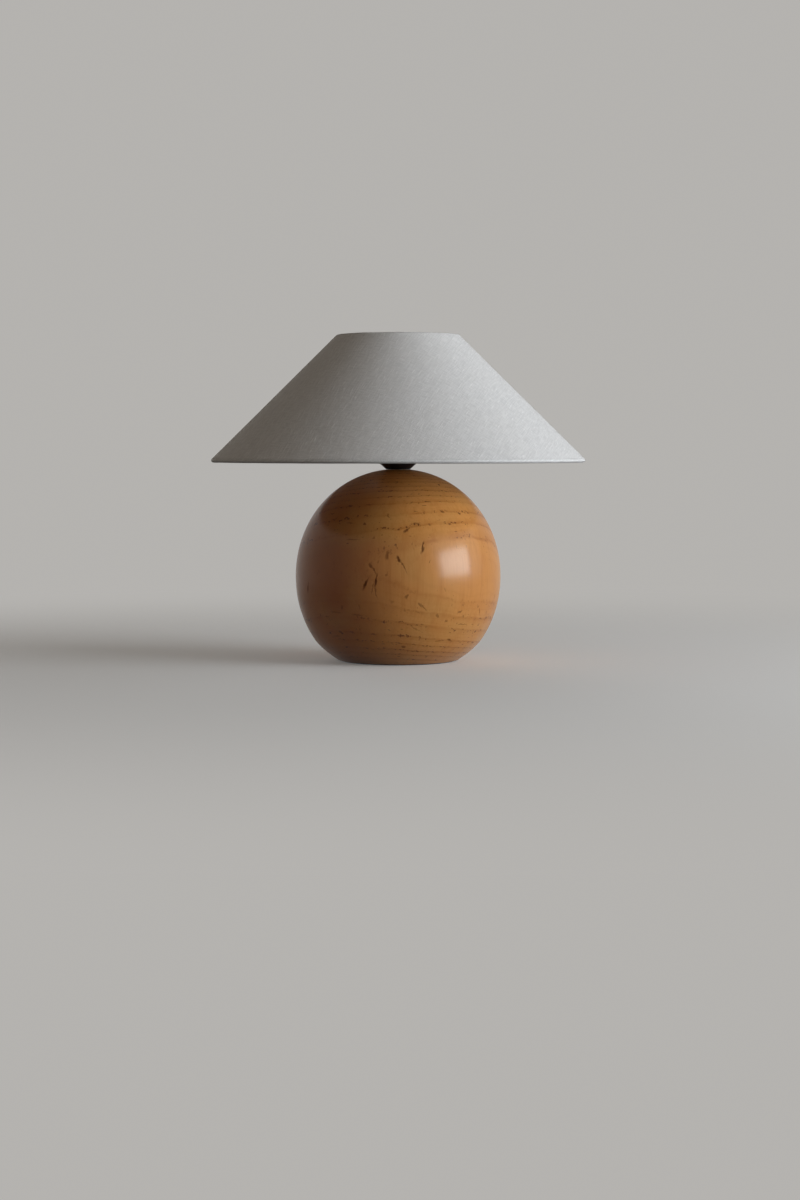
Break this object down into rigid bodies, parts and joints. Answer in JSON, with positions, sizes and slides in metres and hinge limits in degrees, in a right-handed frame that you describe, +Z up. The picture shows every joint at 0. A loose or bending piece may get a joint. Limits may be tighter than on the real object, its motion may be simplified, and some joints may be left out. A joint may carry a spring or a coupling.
{
  "type": "table lamp",
  "caption": "Table lamp with a turned wooden ball base, a black lamp holder with a turn switch, and a wide cone shade of pale linen held by threaded rings.",
  "frame": {"origin": "on the lamp's axis, on the surface that the felt ring stands on", "axes": "+Z up along the lamp's axis, -Y towards the viewer of the picture, +X to the right and out along the switch knob's axis"},
  "size_m": [0.3638, 0.3638, 0.3175],
  "materials": {
    "lacquered_pine": "satin clear lacquer over stained pine",
    "green_felt": "dark green felt",
    "hardboard": "plain brown hardboard",
    "zinc_plate": "bright zinc plate",
    "brass": "plain brass",
    "nickel_brass": "nickel plated brass",
    "black_bakelite": "black moulded plastic, semi-gloss",
    "grey_polyamide": "pale grey polyamide",
    "porcelain": "unglazed white porcelain",
    "opal_glass": "white opal, doesn't show what is inside",
    "black_glass": "solid black glass",
    "white_enamel": "white enamel over steel",
    "linen": "off-white linen weave",
    "white_film": "white laminated film",
    "brown_pvc": "brown wire insulation",
    "blue_pvc": "blue wire insulation"
  },
  "bodies": {
    "base": {"ball_base": "lacquered_pine", "felt_ring": "green_felt", "bottom_cover": "hardboard", "cover_screw_1": "brass", "cover_screw_2": "brass", "cover_screw_3": "brass", "lamp_tube": "zinc_plate", "tube_washer": "zinc_plate", "lock_washer": "zinc_plate", "hex_nut": "zinc_plate", "cord_gland": "black_bakelite", "terminal_block": "grey_polyamide", "terminal_barrel_left": "brass", "terminal_barrel_right": "brass", "clamp_screw_1": "zinc_plate", "clamp_screw_2": "zinc_plate", "clamp_screw_3": "zinc_plate", "clamp_screw_4": "zinc_plate", "block_screw": "zinc_plate", "lead_brown": "brown_pvc", "lead_blue": "blue_pvc", "holder_cap": "black_bakelite", "cap_grub_screw": "zinc_plate", "switch_body": "black_bakelite", "switch_leaf_contact": "brass", "contact_block": "porcelain", "centre_contact": "brass", "terminal_screw_1": "brass", "terminal_screw_2": "brass", "screw_shell": "brass", "threaded_sleeve": "black_bakelite"},
    "switch_knob": {"switch_knob": "black_bakelite", "switch_spindle": "zinc_plate", "switch_rotor": "porcelain"},
    "bulb": {"bulb_globe": "opal_glass", "bulb_cap": "nickel_brass", "bulb_insulator": "black_glass", "bulb_tip_contact": "nickel_brass", "bulb_stem": "white_enamel"},
    "carriage": {"fitter_washer": "zinc_plate"},
    "lower_ring": {"lower_shade_ring": "black_bakelite"},
    "upper_ring": {"upper_shade_ring": "black_bakelite"},
    "shade": {"fitter_ring": "white_enamel", "shade_spoke_1": "white_enamel", "shade_spoke_2": "white_enamel", "shade_spoke_3": "white_enamel", "shade_bottom_wire": "white_enamel", "shade_top_wire": "white_enamel", "shade_bottom_hem": "linen", "shade_top_hem": "linen", "shade_linen": "linen", "shade_liner": "white_film"}
  },
  "joints": [
    {"name": "switch_knob_turn", "type": "hinge", "parent": "base", "child": "switch_knob", "pos_m": [0.003, 0, 0.20599], "axis": [1, 0, 0], "continuous": true},
    {"name": "bulb_lift", "type": "slide", "parent": "base", "child": "bulb", "axis": [0, 0, 1], "range_m": [0, 0.13]},
    {"name": "shade_height", "type": "slide", "parent": "base", "child": "carriage", "axis": [0, 0, 1], "range_m": [-0.0035, 0.0035]},
    {"name": "lower_ring_turn", "type": "hinge", "parent": "carriage", "child": "lower_ring", "pos_m": [0, 0, 0.22698], "axis": [0, 0, 1], "range_deg": [-365, 365]},
    {"name": "upper_ring_turn", "type": "hinge", "parent": "carriage", "child": "upper_ring", "pos_m": [0, 0, 0.23639], "axis": [0, 0, 1], "range_deg": [-365, 365]},
    {"name": "shade_swivel", "type": "hinge", "parent": "carriage", "child": "shade", "pos_m": [0, 0, 0.23458], "axis": [0, 0, 1], "continuous": true}
  ],
  "couplings": [
    {"joint": "lower_ring_turn", "follows": "shade_height", "rad_per_m": 1795.2},
    {"joint": "upper_ring_turn", "follows": "shade_height", "rad_per_m": 1795.2}
  ]
}
